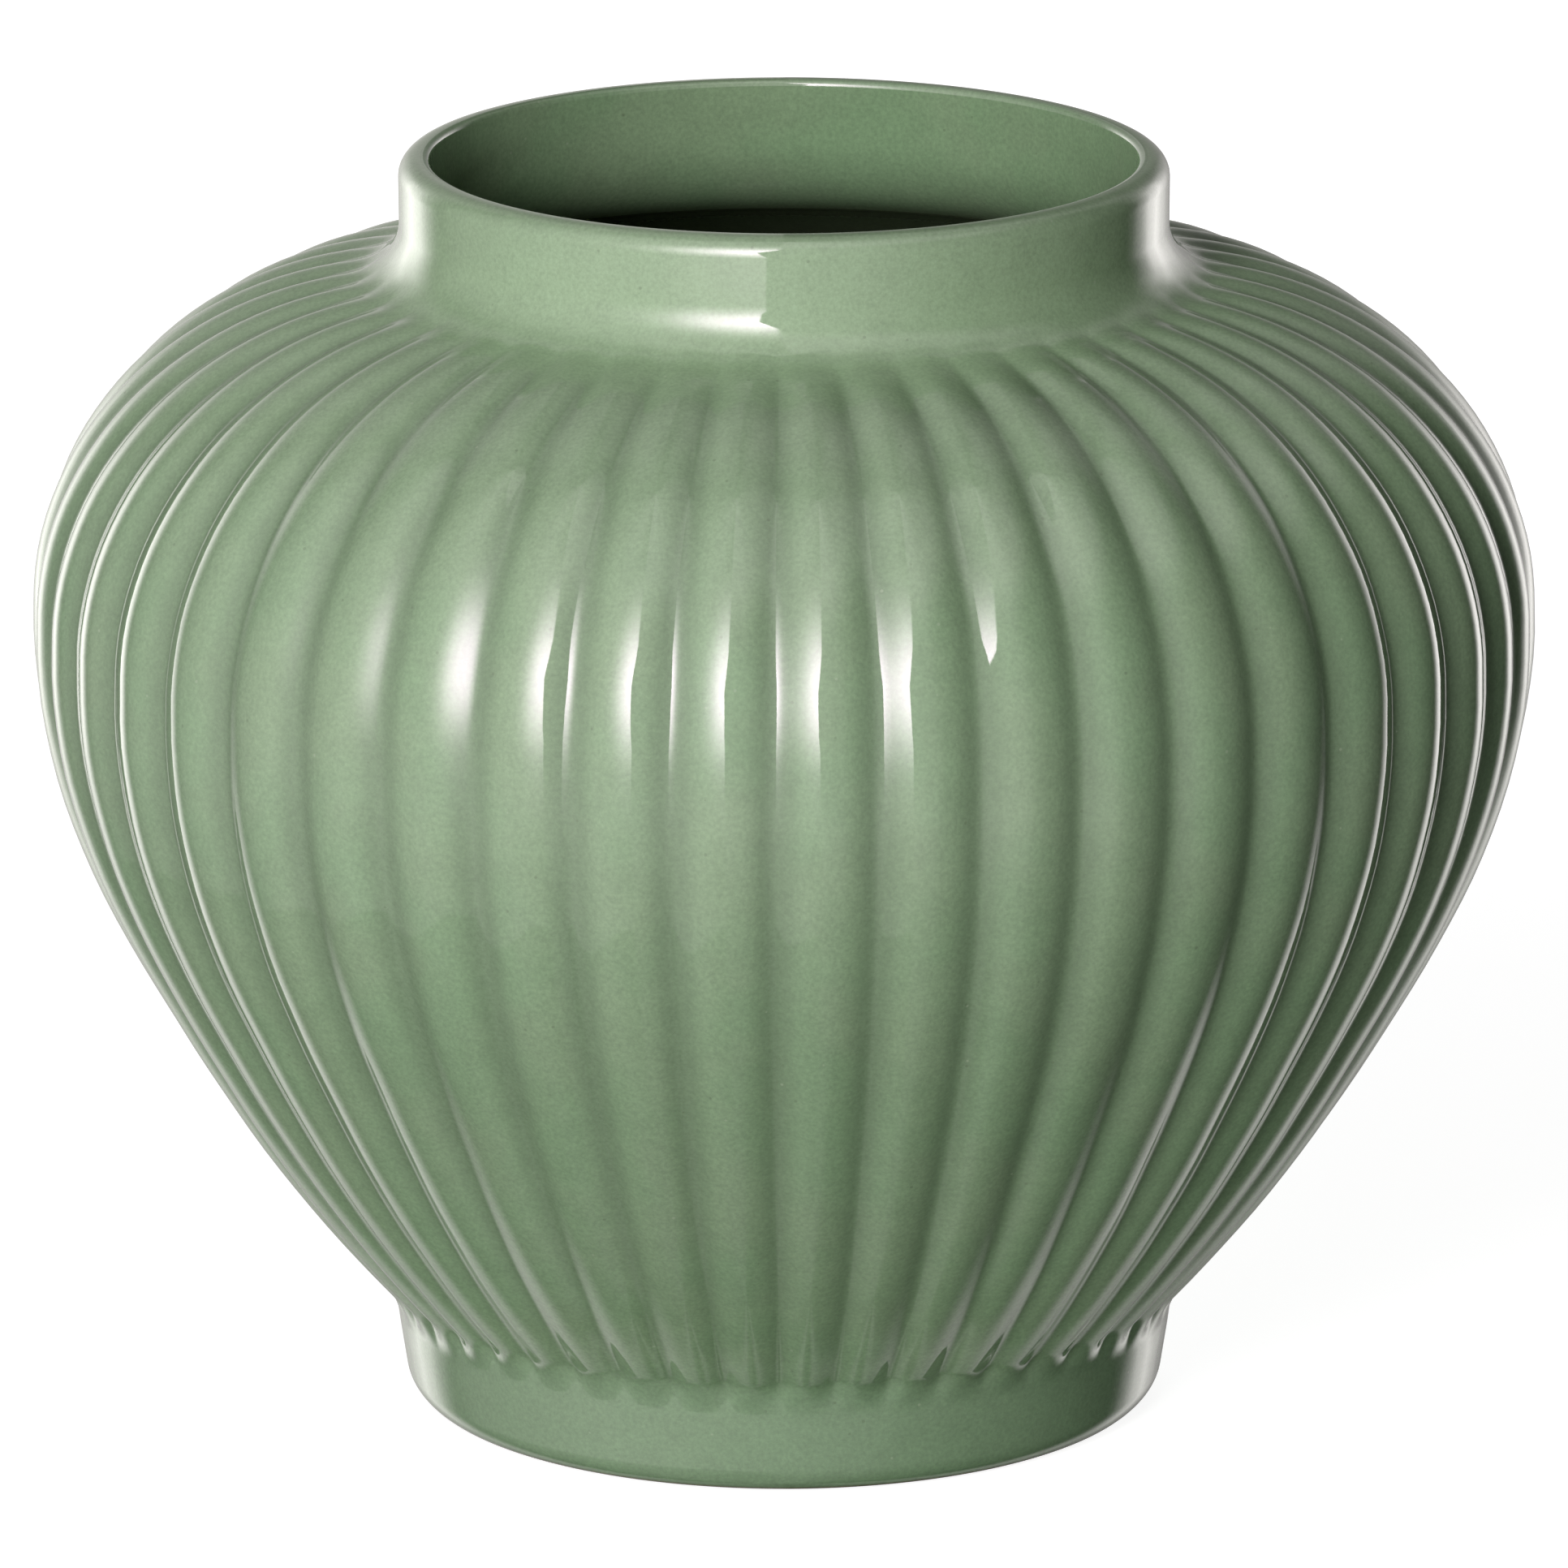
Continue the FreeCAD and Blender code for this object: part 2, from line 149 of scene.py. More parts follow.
# The glaze's pattern: a noise's scale in turns per metre, and its size as a share of brightness.
noise_detail = 3.0
coarseness = 0.7
patch_scale = 55.0
blotch_scale = 210.0
blotch_strength = 0.03
grain_scale = 1700.0
grain_strength = 0.13
noise_range = (0.3, 0.7)
patch_range = (0.35, 0.65)
speck_scale = 520.0
speck_radii = (0.15, 0.09)
speck_share = 0.35
dark_speck_above = 0.95
light_speck_below = 0.025
ripple_scale = 320.0
ripple_detail = 2.0
ripple_strength = 0.25
ripple_depth = 0.02 * mm
glaze_roughness = (0.022, 0.04)
glaze_ior = 1.5

# The bare clay's pattern: scales in turns per metre.
grit_scale = 1500.0
grit_detail = 4.0
grit_strength = 0.5
grit_depth = 0.1 * mm
cloud_scale = 90.0
cloud_levels = (0.85, 1.1)
clay_roughness = (0.75, 0.9)

# The camera, in degrees round the vase and above the horizon, and what it looks at.
camera_azimuth = 2.55
camera_elevation = 15.112
camera_distance = 1.7983
aim = Vector((0, 0, 92.16 * mm))
sensor_width = 36.0
lens_length = 290.87
photo_pixels = 1932
picture_drop_pixels = 30.6
farthest_seen = 100.0

# What the glaze mirrors, by degrees to the right of the camera and above the horizon. White is 1.
# A big soft box on the left ends in a sharp edge beside the camera, where it is hottest.
key_centre = (-6.0, 22.0)
key_spread = (17.5, 15.0)
key_peak = 19.0
hot_tint = (1.16, 0.96, 1.12, 1)
room_tint = (1.03, 1.0, 0.97, 1)
panel_levels = [
    (-130, 0.5),
    (-118, 0.7),
    (-99, 1.2),
    (-77, 1.85),
    (-55, 2.4),
    (-30, 2.2),
    (-10, 1.9),
    (10, 1.7),
]
panel_heights = [
    (-90, 0.3),
    (-58, 0.42),
    (-45, 0.68),
    (-30, 0.8),
    (-18, 1.0),
    (60, 1.0),
    (90, 0.85),
]
panel_foot = [(-130, -31), (-109, -34), (-85, -39), (-60, -41.5), (0, -41.5)]
panel_foot_softness = 0.5
below_panel = 0.62
panel_edge = [(-10, -5), (0, -5), (6, -6.5), (22, -8), (36, -2), (50, -1)]
panel_edge_softness = (0.9, 5.0)
panel_softening = (30.0, 50.0)
panel_far_end = (-128.0, -112.0)

# The rest of the room, a strip overhead, and the lit wall behind the vase, which is the same on both sides.
room_levels = [
    (-140, 0.35),
    (-100, 0.5),
    (-12, 2.2),
    (2, 2.2),
    (8, 2.0),
    (26, 1.6),
    (40, 0.9),
    (60, 0.4),
    (80, 0.2),
    (104, 0.04),
]
room_heights = [(-90, 0.2), (-58, 0.3), (-40, 0.5), (-18, 1.05), (0, 1.0), (60, 1.0), (90, 0.8)]
top_levels = [
    (-180, 0.4),
    (-132, 0.4),
    (-100, 0.9),
    (0, 0.8),
    (44, 1.5),
    (66, 1.4),
    (99, 1.2),
    (115, 0.7),
    (180, 0.4),
]
top_heights = (38.0, 60.0)
back_levels = [
    (123, 0.0),
    (127, 0.3),
    (133, 1.6),
    (139, 3.2),
    (147, 3.4),
    (153, 2.0),
    (161, 0.9),
    (170, 0.4),
    (180, 0.35),
]
back_heights = [
    (-90, 0.1),
    (-40, 0.25),
    (-20, 0.7),
    (-12, 1.0),
    (0, 1.0),
    (10, 0.75),
    (17, 0.35),
    (25, 0.12),
    (90, 0.05),
]

# The faint light that comes from all round, from this level below to this much more overhead.
ambient_level = 0.008
ambient_rise = 0.03
ambient_heights = (-30.0, 90.0)

# The lamps: azimuth and elevation in degrees, distance, width and height in metres, brightness.
lamps = {
    "key_light": (-20, 24, 1.4, 0.42, 0.77, 0.785),
    "left_fill": (-66, 10, 1.6, 1.4, 1.4, 0.075),
    "back_light": (178, 16, 1.8, 1.0, 1.0, 0.4),
}

# The floor, whose glow whitens with distance from the vase so that only the shadow shows.
floor_radius = 8.0
floor_level = -0.02 * mm
floor_sides = 96
floor_grey = (0.6, 0.6, 0.6, 1)
seen_floor_grey = (0.4, 0.4, 0.4, 1)
white = (1, 1, 1, 1)
glow_reach = (0.2, 0.6)
glow_levels = (0.91, 1.0)


def unit(vector):
    return vector / np.linalg.norm(vector)


def outward(direction):
    """The normal on the right of an outline that runs in this direction."""
    return unit(np.array([direction[1], -direction[0]]))


def arc_rows(centre, radius, first_angle, last_angle, steps):
    """Points and outward normals of an arc, for angles from the radius direction towards +z."""
    rows = []
    for angle in np.linspace(first_angle, last_angle, steps + 1):
        normal = np.array([math.cos(angle), math.sin(angle)])
        rows.append((centre + normal * radius, normal))
    return rows


def blend_rows(start, start_direction, end, end_direction, corner, steps):
    """Points and normals of the near arc that rounds a corner."""
    first = start + start_direction * (np.linalg.norm(corner - start) * blend_handle_share)
    last = end - end_direction * (np.linalg.norm(corner - end) * blend_handle_share)
    rows = []
    for t in np.linspace(0, 1, steps + 1):
        s = 1 - t
        point = s**3 * start + 3 * s * s * t * first + 3 * s * t * t * last + t**3 * end
        slope = s * s * (first - start) + 2 * s * t * (last - first) + t * t * (end - last)
        rows.append((point, outward(slope)))
    return rows


class Spline:
    """A smooth cubic curve through points, by its length along their chords."""

    def __init__(self, points):
        self.points = np.array(points)
        chords = np.linalg.norm(np.diff(self.points, axis=0), axis=1)
        self.knots = np.concatenate([[0], np.cumsum(chords)])
        count = len(points)
        matrix = np.zeros((count, count))
        right = np.zeros((count, 2))
        matrix[0, 0] = matrix[-1, -1] = 1
        right[0] = self.end_slope(0, [0, 1, 2, 3])
        right[-1] = self.end_slope(-1, [count - 1, count - 2, count - 3, count - 4])
        for i in range(1, count - 1):
            before, after = chords[i - 1], chords[i]
            matrix[i, i - 1 : i + 2] = after, 2 * (before + after), before
            rise_before = (self.points[i] - self.points[i - 1]) / before
            rise_after = (self.points[i + 1] - self.points[i]) / after
            right[i] = 3 * (after * rise_before + before * rise_after)
        self.slopes = np.linalg.solve(matrix, right)

    def end_slope(self, end, near):
        """The slope at an end of the cubic through the four points nearest to it."""
        knots = self.knots[near] - self.knots[end]
        powers = np.vander(knots, 4, increasing=True)
        return np.linalg.solve(powers, self.points[near])[1]

    def row(self, place):
        i = min(max(np.searchsorted(self.knots, place) - 1, 0), len(self.knots) - 2)
        span = self.knots[i + 1] - self.knots[i]
        t = (place - self.knots[i]) / span
        start, end = self.points[i], self.points[i + 1]
        first, last = self.slopes[i] * span, self.slopes[i + 1] * span
        point = (
            (2 * t**3 - 3 * t * t + 1) * start
            + (t**3 - 2 * t * t + t) * first
            + (3 * t * t - 2 * t**3) * end
            + (t**3 - t * t) * last
        )
        slope = 6 * (t * t - t) * (start - end) + (3 * t * t - 4 * t + 1) * first + (3 * t * t - 2 * t) * last
        return point, outward(slope)

    def place_at_length(self, length):
        """The place whose distance along the curve from its start is this length."""
        place = length
        for _ in range(length_refinements):
            points = np.array([self.row(p)[0] for p in np.linspace(0, place, length_samples)])
            place *= length / np.linalg.norm(np.diff(points, axis=0), axis=1).sum()
        return place


# The foot: a rounded edge and a flared wall up to the corner under the belly.
foot_corner = np.array([foot_radius, foot_height])
foot_direction = np.array([math.sin(foot_flare), math.cos(foot_flare)])
foot_normal = outward(foot_direction)
edge_height = foot_edge_radius - coat
foot_rise = foot_height - edge_height + foot_edge_radius * math.sin(foot_flare)
foot_wall_start = foot_corner - foot_direction * (foot_rise / math.cos(foot_flare))
foot_wall_end = foot_corner - foot_direction * foot_blend
edge_centre = foot_wall_start - foot_normal * foot_edge_radius


def shoulder_rows(steps):
    """The quarter ellipse from the widest place to where it meets the neck's rounding."""
    reach = belly_radius - neck_radius + shoulder_tuck
    rise = vase_height - shoulder_drop - belly_height
    centre = np.array([belly_radius - reach, belly_height])
    end_angle = math.acos((neck_blend + shoulder_tuck) / reach)
    rows = []
    for angle in np.linspace(0, end_angle, steps + 1):
        point = centre + np.array([reach * math.cos(angle), rise * math.sin(angle)])
        rows.append((point, unit(np.array([math.cos(angle) / reach, math.sin(angle) / rise]))))
    return rows


def ribbed_stretches():
    """The ribbed outline from the foot's wall to the neck's wall, as stretches of rows."""
    belly = Spline(
        [
            (
                foot_radius + (belly_radius - foot_radius) * reach_share,
                foot_height + (belly_height - foot_height) * height_share,
            )
            for height_share, reach_share in lower_belly_shares
        ]
    )
    belly_start = belly.place_at_length(foot_blend)
    lower = [belly.row(place) for place in np.linspace(belly_start, belly.knots[-1], belly_row_count)]
    first_point, first_normal = lower[0]
    first_direction = np.array([-first_normal[1], first_normal[0]])
    foot = blend_rows(foot_wall_end, foot_direction, first_point, first_direction, foot_corner, blend_steps)
    shoulder = shoulder_rows(shoulder_steps)
    last_point, last_normal = shoulder[-1]
    direction = np.array([-last_normal[1], last_normal[0]])
    neck_corner = last_point + direction * ((neck_radius - last_point[0]) / direction[0])
    neck_end = neck_corner + up * np.linalg.norm(neck_corner - last_point)
    neck = blend_rows(last_point, direction, neck_end, up, neck_corner, blend_steps)
    return foot, lower, shoulder, neck


foot_rows, belly_rows, shoulder_part, neck_rows = ribbed_stretches()
ribbed_rows = foot_rows + belly_rows[1:] + shoulder_part[1:] + neck_rows[1:]
ribbed_points = np.array([point for point, _ in ribbed_rows])
ribbed_lengths = np.concatenate([[0], np.cumsum(np.linalg.norm(np.diff(ribbed_points, axis=0), axis=1))])


def fade(share):
    """A smooth step from 0 to 1."""
    share = np.clip(share, 0, 1)
    return share * share * (3 - 2 * share)


def rib_scales():
    """How deep the ribs are on each ribbed row, as a share of their depth at the widest place."""
    below = fade(ribbed_lengths / rib_foot_fade)
    above = fade((ribbed_lengths[-1] - rib_neck_gap - ribbed_lengths) / rib_neck_fade)
    return ribbed_points[:, 0] / belly_radius * below * above


def valley_share(turn):
    """The share of the rib's depth by which the wall lies below a crest: turn is 1 in the valley."""
    crest = math.sqrt(1 + valley_round_share)
    valley = math.sqrt(valley_round_share)
    return (crest - np.sqrt(np.cos(math.pi * turn / 2) ** 2 + valley_round_share)) / (crest - valley)


def rib_columns():
    """Angles round the vase, closer together in the valleys, with each one's valley share."""
    spread = 2 * np.arange(columns_per_rib) / columns_per_rib - 1
    turn = spread - valley_crowding_share * np.sin(math.pi * spread) / math.pi
    half_pitch = math.pi / rib_count
    angles = np.concatenate([half_pitch * (1 + turn + 2 * rib) for rib in range(rib_count)])
    return angles, np.tile(valley_share(1 - np.abs(turn)), rib_count)


def lip_outside_rows(inset):
    """Up the neck's wall and over the outer rounding to the seam on the crown."""
    centre = np.array([neck_radius - lip_outer_radius, vase_height - lip_outer_radius])
    rows = arc_rows(centre, lip_outer_radius - inset, 0, math.pi / 2, lip_outer_steps)
    return [point for point, _ in rows] + [np.array([seam_radius, vase_height - inset])]


def inside_rows(inset):
    """From the seam over the inner rounding, down the inside wall and in to the floor's middle."""
    crown = vase_height - inset
    floor = floor_height - inset
    centre = np.array([mouth_radius + lip_inner_radius, vase_height - lip_inner_radius])
    rows = [np.array([seam_radius, crown])]
    lip = arc_rows(centre, lip_inner_radius - inset, math.pi / 2, math.pi, lip_inner_steps)
    rows += [point for point, _ in lip]
    wall = []
    for point, normal in reversed(belly_rows + shoulder_part[1:] + neck_rows[1:]):
        share = (point[0] - neck_radius) / (belly_radius - neck_radius)
        thickness = neck_wall + (belly_wall - neck_wall) * share
        if (point - normal * thickness)[1] > floor_height + floor_blend:
            wall.append((point - normal * (thickness - inset), normal))
    last, normal = wall[-1]
    down = np.array([normal[1], -normal[0]])
    corner = last + down * ((floor - last[1]) / down[1])
    floor_end = corner - np.array([np.linalg.norm(corner - last), 0])
    rows += [point for point, _ in wall]
    turn_in = blend_rows(last, down, floor_end, np.array([-1, 0]), corner, blend_steps)
    rows += [point for point, _ in turn_in[1:]]
    rows += [np.array([floor_end[0] * share, floor]) for share in floor_ring_shares]
    return rows


def unevenness(angles, height):
    """How far in the hand-finished surface lies there, from 0 to 1, in slow waves."""
    waves = sum(np.sin(turns * angles + climb * height + start) for turns, climb, start in uneven_waves)
    return (waves + len(uneven_waves)) / (2 * len(uneven_waves))


def turned_ring(point, angles):
    """A plain round ring through an outline's point."""
    heights = np.full(len(angles), point[1])
    return np.column_stack([point[0] * np.cos(angles), point[0] * np.sin(angles), heights])


def ribbed_ring(row, scale, inset, depth, angles, shares, uneven):
    """A ribbed row's ring, moved in by inset, with valleys of that depth at the widest place."""
    point, normal = row
    drop = inset + depth * scale * shares + uneven * unevenness(angles, point[1] / vase_height)
    radius = point[0] - normal[0] * drop
    return np.column_stack([radius * np.cos(angles), radius * np.sin(angles), point[1] - normal[1] * drop])


def closed_mesh(name, rings, valleys, end_points):
    """A closed mesh of rings, each joined to the next. Without end points, the last ring joins the first."""
    count = len(rings[0])
    vertices = np.concatenate(rings)
    loops = [(k, k + 1) for k in range(len(rings) - 1)]
    if not len(end_points):
        loops.append((len(rings) - 1, 0))
    faces = []
    for low, high in loops:
        for j in range(count):
            after = (j + 1) % count
            faces.append((low * count + j, low * count + after, high * count + after, high * count + j))
    for end, ring in zip(end_points, (0, len(rings) - 1)):
        middle = len(vertices)
        vertices = np.vstack([vertices, end])
        valleys = np.append(valleys, 0)
        for j in range(count):
            here, after = ring * count + j, ring * count + (j + 1) % count
            faces.append((after, here, middle) if ring == 0 else (here, after, middle))
    mesh = bpy.data.meshes.new(name)
    mesh.from_pydata(vertices.tolist(), [], faces)
    attribute = mesh.attributes.new("valley", "FLOAT", "POINT")
    attribute.data.foreach_set("value", np.asarray(valleys, dtype=np.float32))
    mesh.shade_smooth()
    mesh.set_sharp_from_angle(angle=sharp_edge)
    piece = bpy.data.objects.new(name, mesh)
    bpy.context.collection.objects.link(piece)
    return piece


def outside_coat():
    """The outside glaze: from its rim above the foot ring up to the seam, and back down on the clay."""
    angles, shares = rib_columns()
    scales = rib_scales()
    none = np.zeros(len(angles))
    stop_normal = np.array([math.cos(coat_stop), math.sin(coat_stop)])
    stop_middle = edge_centre + stop_normal * (foot_edge_radius - coat / 2)
    rings, valleys = [], []

    def turned(points):
        for point in points:
            rings.append(turned_ring(point, angles))
            valleys.append(none)

    for angle in np.linspace(0, math.pi, coat_rim_rows):
        way = outward(stop_normal) * math.sin(angle) - stop_normal * math.cos(angle)
        turned([stop_middle + way * (coat / 2)])
    foot_edge = arc_rows(edge_centre, foot_edge_radius, coat_stop, -foot_flare, foot_edge_steps)
    turned([point for point, _ in foot_edge[1:]])
    turned([foot_wall_start + (foot_wall_end - foot_wall_start) * share for share in foot_wall_shares])
    for row, scale in zip(ribbed_rows, scales):
        rings.append(ribbed_ring(row, scale, 0, rib_depth, angles, shares, surface_unevenness))
        valleys.append(shares * scale)
    turned(lip_outside_rows(0))
    turned(reversed(lip_outside_rows(coat)))
    hidden_rows = list(zip(ribbed_rows, scales))[::-1][::hidden_row_stride]
    for row, scale in hidden_rows:
        rings.append(ribbed_ring(row, scale, coat, rib_depth + coat_pooling, angles, shares, 0))
        valleys.append(shares * scale)
    inner_wall_start = foot_wall_start - foot_normal * coat
    turned([foot_wall_end - foot_normal * coat * hidden_corner_share, inner_wall_start])
    inner_arc = arc_rows(edge_centre, foot_edge_radius - coat, -foot_flare, coat_stop, hidden_foot_steps)
    turned([point for point, _ in inner_arc[1:-1]])
    return closed_mesh("outside_green_glaze", rings, np.concatenate(valleys), [])


def inside_coat():
    """The inside glaze: from the seam down over the floor, with its underside on the clay."""
    angles = np.arange(inside_columns) * 2 * math.pi / inside_columns
    upper, lower = inside_rows(0), inside_rows(coat)
    points = lower[::-1] + upper
    rings = [turned_ring(point, angles)[::-1] for point in points]
    ends = [(0, 0, floor_height - coat), (0, 0, floor_height)]
    return closed_mesh("inside_green_glaze", rings, np.zeros(len(rings) * inside_columns), ends)


outside = outside_coat()
inside = inside_coat()
for piece, node, finish in (
    (outside, "outside_glaze", "green_glaze"),
    (inside, "inside_glaze", "inside_green_glaze"),
):
    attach(piece, "root")
    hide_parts(node)


class Nodes:
    """Short ways to add and join shader nodes in one tree."""

    def __init__(self, tree):
        self.tree = tree
        tree.nodes.clear()

    def add(self, kind, inputs=(), **settings):
        node = self.tree.nodes.new(kind)
        for name, value in settings.items():
            setattr(node, name, value)
        for key, value in dict(inputs).items():
            self.put(node.inputs[key], value)
        return node

    def put(self, socket, value):
        if isinstance(value, bpy.types.NodeSocket):
            self.tree.links.new(value, socket)
        else:
            socket.default_value = value

    def math(self, operation, *values, clamp=False):
        node = self.add("ShaderNodeMath", enumerate(values), operation=operation, use_clamp=clamp)
        return node.outputs[0]

    def span(self, value, low, high, start=0.0, end=1.0, smooth=True):
        """Maps low..high to start..end and holds the ends."""
        kind = "SMOOTHSTEP" if smooth else "LINEAR"
        inputs = {0: value, 1: low, 2: high, 3: start, 4: end}
        return self.add("ShaderNodeMapRange", inputs, interpolation_type=kind).outputs[0]

    def noise(self, place, scale, detail=2.0, roughness=0.5):
        inputs = {"Vector": place, "Scale": scale, "Detail": detail, "Roughness": roughness}
        return self.add("ShaderNodeTexNoise", inputs).outputs["Fac"]

    def mix(self, share, first, second):
        """Between two colours."""
        node = self.add("ShaderNodeMix", data_type="RGBA")
        for key, value in ((0, share), (6, first), (7, second)):
            self.put(node.inputs[key], value)
        return node.outputs[2]

    def blend(self, share, first, second):
        """Between two numbers."""
        return self.add("ShaderNodeMix", {0: share, 2: first, 3: second}).outputs[0]

    def curve(self, value, points):
        """A line through (place, value) points, both within the ranges given by the points."""
        places = [place for place, _ in points]
        levels = [level for _, level in points]
        low, high = min(levels), max(levels)
        share = self.span(value, places[0], places[-1], smooth=False)
        ramp = self.add("ShaderNodeValToRGB", {0: share})
        stops = ramp.color_ramp.elements
        while len(stops) < len(points):
            stops.new(0.5)
        for stop, (place, level) in zip(stops, points):
            stop.position = (place - places[0]) / (places[-1] - places[0])
            grey = (level - low) / (high - low)
            stop.color = (grey, grey, grey, 1)
        return self.math("MULTIPLY_ADD", ramp.outputs[0], high - low, low)


def tones_and_foot_shade(n, colour, height):
    """The outside's slow changes: paler up to the neck, and darker down to the foot as painted shade under
    the belly.
    """
    colour = n.mix(n.span(height, *neck_tone_heights, 0.0, neck_tone_share), colour, pale_glaze)
    # Painted shade: darker down towards the foot, under the belly's overhang.
    return n.mix(n.span(height, *foot_shade_heights, 0.0, foot_shade_share), colour, painted_foot_shade)


def speckled(n, colour, place):
    """Adds small round specks, a few dark and fewer light ones."""
    cells = n.add("ShaderNodeTexVoronoi", {"Vector": place, "Scale": speck_scale})
    chosen = n.add("ShaderNodeSeparateColor", {0: cells.outputs["Color"]}).outputs[0]
    near = n.span(cells.outputs["Distance"], *speck_radii)
    dark = n.math("MULTIPLY", near, n.math("GREATER_THAN", chosen, dark_speck_above))
    light = n.math("MULTIPLY", near, n.math("LESS_THAN", chosen, light_speck_below))
    colour = n.mix(n.math("MULTIPLY", dark, speck_share), colour, dark_speck)
    return n.mix(n.math("MULTIPLY", light, speck_share), colour, light_speck)


def glaze_material(name, deep_inside=False):
    """A gloss green glaze with fine grain and specks, darker where it pools, and with painted shade deep
    inside.
    """
    material = bpy.data.materials.new(name)
    material.use_nodes = True
    n = Nodes(material.node_tree)
    place = n.add("ShaderNodeTexCoord").outputs["Object"]
    valley = n.add("ShaderNodeAttribute", attribute_name="valley").outputs["Fac"]
    height = n.add("ShaderNodeSeparateXYZ", {0: place}).outputs["Z"]
    patches = n.noise(place, patch_scale, noise_detail)
    blotches = n.noise(place, blotch_scale, noise_detail)
    grain = n.noise(place, grain_scale, noise_detail, coarseness)
    colour = n.mix(n.span(patches, *patch_range), browner_glaze, greener_glaze)
    if not deep_inside:
        colour = tones_and_foot_shade(n, colour, height)
    pooled = n.math("MULTIPLY", n.span(valley, *pooled_valleys), pooled_tone_share)
    colour = n.mix(pooled, colour, pooled_glaze)
    # Brown along the glaze's lowest edge, at the foot.
    colour = n.mix(n.span(height, *brown_edge_heights), colour, foot_edge_brown)
    fine = n.span(grain, *noise_range, -grain_strength, grain_strength, False)
    coarse = n.span(blotches, *noise_range, 1 - blotch_strength, 1 + blotch_strength)
    colour = scaled(n, colour, n.math("ADD", fine, coarse))
    colour = speckled(n, colour, place)
    # Painted shade: the inside wall's colour darkens further down from the mouth.
    if deep_inside:
        deep = n.span(height, *inside_shade_heights, 0.0, inside_shade_share)
        colour = n.mix(deep, colour, painted_inside_shade)
    ripples = n.noise(place, ripple_scale, ripple_detail)
    bump = {"Strength": ripple_strength, "Distance": ripple_depth, "Height": ripples}
    ripple = n.add("ShaderNodeBump", bump)
    inputs = {
        "Base Color": colour,
        "Roughness": n.span(blotches, *noise_range, *glaze_roughness),
        "IOR": glaze_ior,
        "Normal": ripple.outputs[0],
    }
    shader = n.add("ShaderNodeBsdfPrincipled", inputs)
    n.add("ShaderNodeOutputMaterial", {"Surface": shader.outputs[0]})
    return material


def scaled(n, colour, factor):
    """The colour times a factor."""
    node = n.add("ShaderNodeVectorMath", {0: colour}, operation="SCALE")
    n.put(node.inputs["Scale"], factor)
    return node.outputs[0]


def clay_material():
    """Bare grey-brown stoneware: matt, with grit."""
    material = bpy.data.materials.new("bare_stoneware")
    material.use_nodes = True
    n = Nodes(material.node_tree)
    place = n.add("ShaderNodeTexCoord").outputs["Object"]
    grit = n.noise(place, grit_scale, grit_detail, coarseness)
    cloud = n.noise(place, cloud_scale, noise_detail)
    colour = n.mix(n.span(grit, *patch_range), clay_dark, clay_light)
    colour = scaled(n, colour, n.span(cloud, *noise_range, *cloud_levels))
    rough = n.add("ShaderNodeBump", {"Strength": grit_strength, "Distance": grit_depth, "Height": grit})
    inputs = {
        "Base Color": colour,
        "Roughness": n.span(grit, *noise_range, *clay_roughness),
        "Normal": rough.outputs[0],
    }
    shader = n.add("ShaderNodeBsdfPrincipled", inputs)
    n.add("ShaderNodeOutputMaterial", {"Surface": shader.outputs[0]})
    return material


glaze = glaze_material("green_glaze")
inside_glaze = glaze_material("inside_green_glaze", deep_inside=True)
base_glaze = glaze_material("base_green_glaze")
outside.data.materials.append(glaze)
inside.data.materials.append(inside_glaze)
for node, material in (("stoneware_body", clay_material()), ("base_glaze", base_glaze)):
    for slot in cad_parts[node].material_slots:
        slot.material = material


def soft_box(n, turn, rise, core):
    """The brightness of the big soft box, with its hot core and its dimmer foot."""
    panel = n.math("MULTIPLY", n.curve(turn, panel_levels), n.curve(rise, panel_heights))
    above_foot = n.math("SUBTRACT", rise, n.curve(turn, panel_foot))
    foot = n.span(above_foot, -panel_foot_softness, panel_foot_softness, below_panel, 1.0)
    return n.math("MULTIPLY_ADD", core, key_peak, n.math("MULTIPLY", panel, foot))


def inside_soft_box(n, turn, rise):
    """1 where the soft box covers the room, with its sharp edge beside the camera and a soft far end."""
    softness = n.span(rise, *panel_softening, *panel_edge_softness)
    inside_edge = n.math("DIVIDE", n.math("SUBTRACT", n.curve(rise, panel_edge), turn), softness)
    return n.math("MULTIPLY", n.span(inside_edge, -0.5, 0.5), n.span(turn, *panel_far_end))


def hot_core(n, turn, rise):
    """A round glow, 1 in the middle of the soft box's hottest place."""
    across = n.math("DIVIDE", n.math("SUBTRACT", turn, key_centre[0]), key_spread[0])
    along = n.math("DIVIDE", n.math("SUBTRACT", rise, key_centre[1]), key_spread[1])
    apart = n.math("ADD", n.math("MULTIPLY", across, across), n.math("MULTIPLY", along, along))
    return n.math("EXPONENT", n.math("MULTIPLY", apart, -0.5))


def room_light(n, turn, rise):
    """The brightness of the room beside, behind and over the vase."""
    room = n.math("MULTIPLY", n.curve(turn, room_levels), n.curve(rise, room_heights))
    either_side = n.math("ABSOLUTE", turn)
    back = n.math("MULTIPLY", n.curve(either_side, back_levels), n.curve(rise, back_heights))
    top = n.math("MULTIPLY", n.curve(turn, top_levels), n.span(rise, *top_heights))
    return n.math("ADD", n.math("ADD", room, back), top)


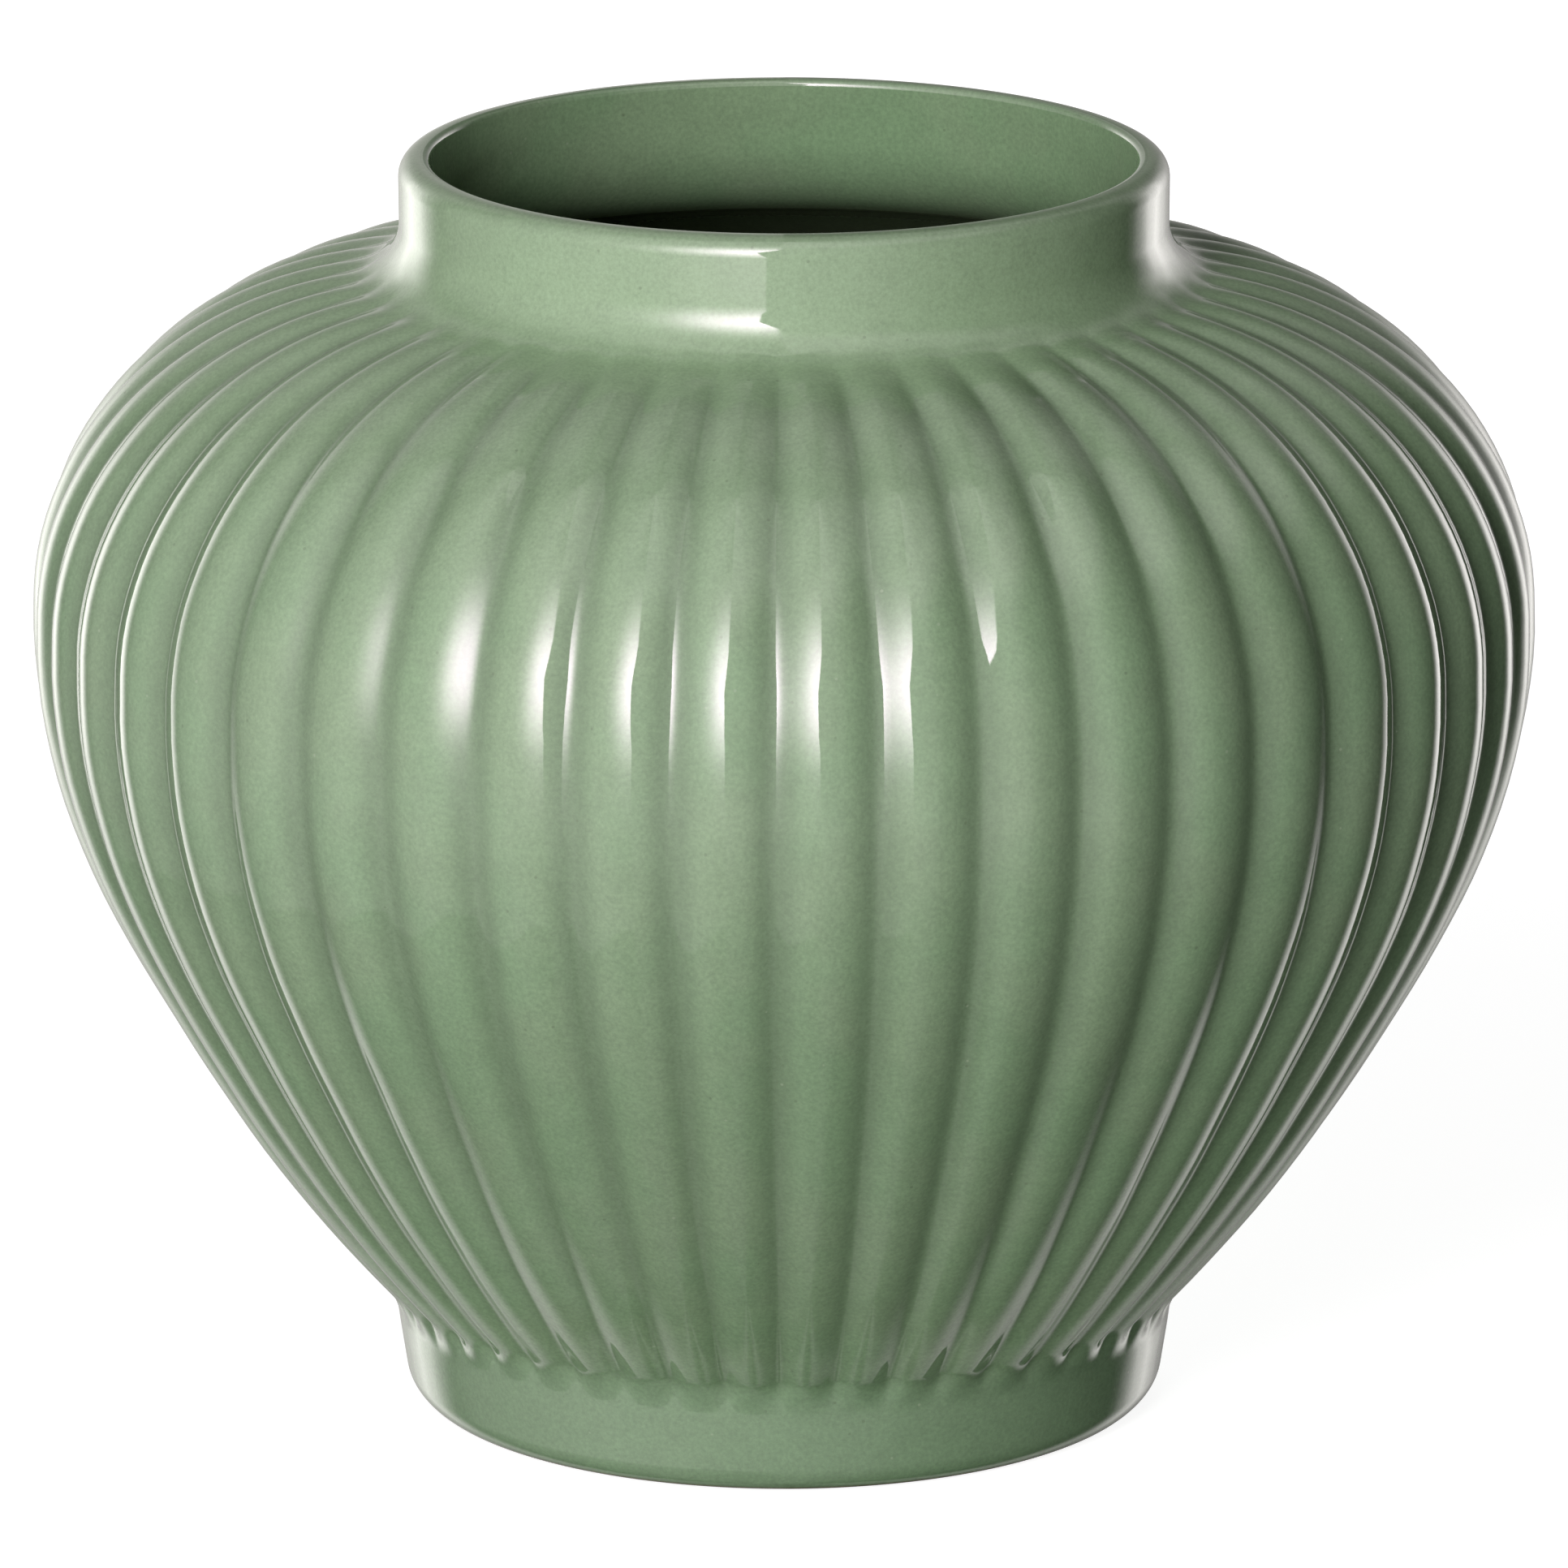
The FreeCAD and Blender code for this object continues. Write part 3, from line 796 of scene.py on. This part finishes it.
def surroundings():
    """The world: white behind, and for the glaze's reflections the soft boxes and dark of a photo studio."""
    world = bpy.data.worlds.new("studio")
    world.use_nodes = True
    world.cycles.sampling_method = "NONE"
    bpy.context.scene.world = world
    n = Nodes(world.node_tree)
    way = n.add("ShaderNodeTexCoord").outputs["Generated"]
    x, y, z = n.add("ShaderNodeSeparateXYZ", {0: way}).outputs
    turn = n.math("ARCTAN2", x, n.math("MULTIPLY", y, -1.0))
    turn = n.math("SUBTRACT", n.math("DEGREES", turn), camera_azimuth)
    turn = n.math("WRAP", turn, 180.0, -180.0)
    rise = n.math("DEGREES", n.math("ARCSINE", z))
    core = hot_core(n, turn, rise)
    lit = inside_soft_box(n, turn, rise)
    seen = n.blend(lit, room_light(n, turn, rise), soft_box(n, turn, rise, core))

    path = n.add("ShaderNodeLightPath").outputs
    hot = n.math("MULTIPLY", n.math("MULTIPLY", lit, core), path["Is Glossy Ray"])
    tint = n.mix(path["Is Camera Ray"], n.mix(hot, room_tint, hot_tint), white)
    ambient = n.math("MULTIPLY_ADD", n.span(rise, *ambient_heights), ambient_rise, ambient_level)
    level = n.blend(path["Is Glossy Ray"], ambient, seen)
    level = n.blend(path["Is Camera Ray"], level, 1.0)
    background = n.add("ShaderNodeBackground", {"Color": tint, "Strength": level})
    n.add("ShaderNodeOutputWorld", {"Surface": background.outputs[0]})


def towards(azimuth, elevation):
    """A direction from the vase, in degrees to the right of the camera and above the horizon."""
    azimuth = math.radians(azimuth + camera_azimuth)
    elevation = math.radians(elevation)
    level = math.cos(elevation)
    return Vector((math.sin(azimuth) * level, -math.cos(azimuth) * level, math.sin(elevation)))


def soft_lamp(name, azimuth, elevation, distance, width, height, brightness):
    """An area lamp that the glaze doesn't mirror. A white card at the vase, facing it, looks this bright."""
    light = bpy.data.lights.new(name, "AREA")
    light.shape = "RECTANGLE"
    light.size, light.size_y = width, height
    light.energy = brightness * (math.pi * distance) ** 2
    lamp = bpy.data.objects.new(name, light)
    back = towards(azimuth, elevation)
    lamp.location = aim + back * distance
    lamp.rotation_euler = back.to_track_quat("Z", "Y").to_euler()
    lamp.visible_glossy = False
    lamp.visible_camera = False
    bpy.context.collection.objects.link(lamp)


def add_floor():
    """A pale disc that keeps the vase's shadow. The glaze doesn't mirror it."""
    mesh = bpy.data.meshes.new("floor")
    turns = [2 * math.pi * side / floor_sides for side in range(floor_sides)]
    ring = [(floor_radius * math.cos(turn), floor_radius * math.sin(turn), floor_level) for turn in turns]
    mesh.from_pydata(ring, [], [tuple(range(floor_sides))])
    floor = bpy.data.objects.new("floor", mesh)
    bpy.context.collection.objects.link(floor)
    mesh.materials.append(floor_material())
    floor.visible_glossy = False


def floor_material():
    """Pale grey for the light it throws back, and nearly white where the camera sees it."""
    material = bpy.data.materials.new("pale_floor")
    material.use_nodes = True
    n = Nodes(material.node_tree)
    path = n.add("ShaderNodeLightPath").outputs
    plain = n.add("ShaderNodeBsdfDiffuse", {"Color": floor_grey}).outputs[0]
    faint = n.add("ShaderNodeBsdfDiffuse", {"Color": seen_floor_grey}).outputs[0]
    place = n.add("ShaderNodeTexCoord").outputs["Object"]
    reach = n.add("ShaderNodeVectorMath", {0: place}, operation="LENGTH").outputs["Value"]
    glow = n.span(reach, *glow_reach, *glow_levels)
    glow = n.add("ShaderNodeEmission", {"Color": white, "Strength": glow}).outputs[0]
    shown = n.add("ShaderNodeAddShader", {0: faint, 1: glow}).outputs[0]
    surface = n.add("ShaderNodeMixShader", {0: path["Is Camera Ray"], 1: plain, 2: shown}).outputs[0]
    n.add("ShaderNodeOutputMaterial", {"Surface": surface})
    return material


def add_camera():
    """The photograph's camera."""
    data = bpy.data.cameras.new("camera")
    data.sensor_width = sensor_width
    data.lens = lens_length
    data.shift_y = -picture_drop_pixels / photo_pixels
    data.clip_end = farthest_seen
    camera = bpy.data.objects.new("camera", data)
    back = towards(0, camera_elevation)
    camera.location = aim + back * camera_distance
    camera.rotation_euler = (-back).to_track_quat("-Z", "Y").to_euler()
    bpy.context.collection.objects.link(camera)
    bpy.context.scene.camera = camera


surroundings()
for lamp_name, lamp_values in lamps.items():
    soft_lamp(lamp_name, *lamp_values)
add_floor()
add_camera()
bpy.context.scene.view_settings.view_transform = "Standard"
